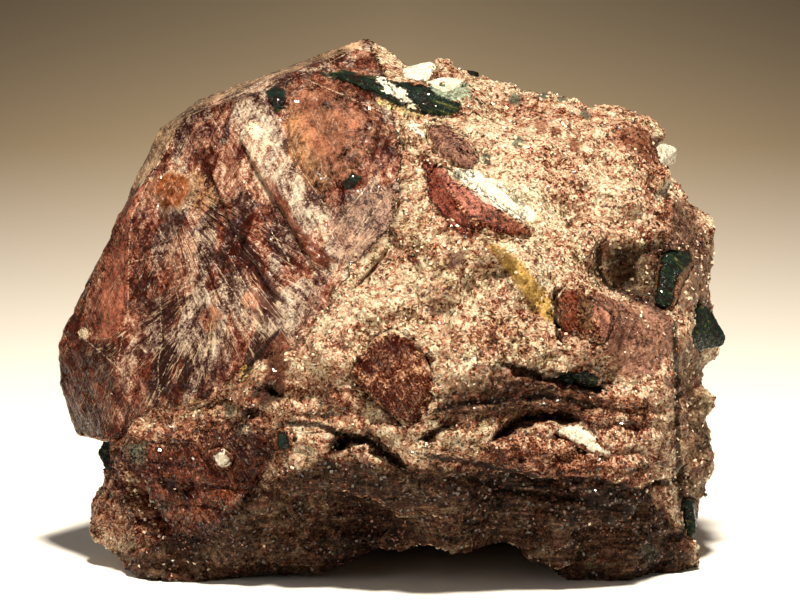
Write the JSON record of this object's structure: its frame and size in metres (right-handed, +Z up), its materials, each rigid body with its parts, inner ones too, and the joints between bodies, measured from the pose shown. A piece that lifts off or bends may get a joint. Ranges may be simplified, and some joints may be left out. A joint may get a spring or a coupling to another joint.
{
  "type": "mineral specimen",
  "caption": "Palm-sized mineral specimen: a large flat-faced wine-red crystal grown into broken granular rock, with small crystals seated in it",
  "frame": {"origin": "under the middle of the specimen, in the plane that its feet stand on", "axes": "+X to the right of the specimen's front, +Y to its back, +Z up"},
  "size_m": [0.0742, 0.0538, 0.0571],
  "materials": {
    "eudialyte": "glassy wine-red crystal",
    "matrix": "granular rock, matt with glinting grains",
    "aegirine": "dark green prisms with a high lustre",
    "feldspar": "pale cleavages, satin"
  },
  "bodies": {
    "root": {"aegirine_band": "aegirine", "aegirine_ledge": "aegirine", "aegirine_left": "aegirine", "aegirine_low_right": "aegirine", "aegirine_lower": "aegirine", "aegirine_middle": "aegirine", "aegirine_right": "aegirine", "aegirine_sliver": "aegirine", "aegirine_top": "aegirine", "aegirine_top_left": "aegirine", "eudialyte_blade": "eudialyte", "eudialyte_crystal": "eudialyte", "eudialyte_dark": "eudialyte", "eudialyte_facet": "eudialyte", "eudialyte_lens": "eudialyte", "feldspar_band": "feldspar", "feldspar_lower_left": "feldspar", "feldspar_shoulder": "feldspar", "feldspar_streak": "feldspar", "feldspar_top": "feldspar", "feldspar_top_green": "feldspar", "matrix_rock": "matrix"}
  },
  "joints": []
}
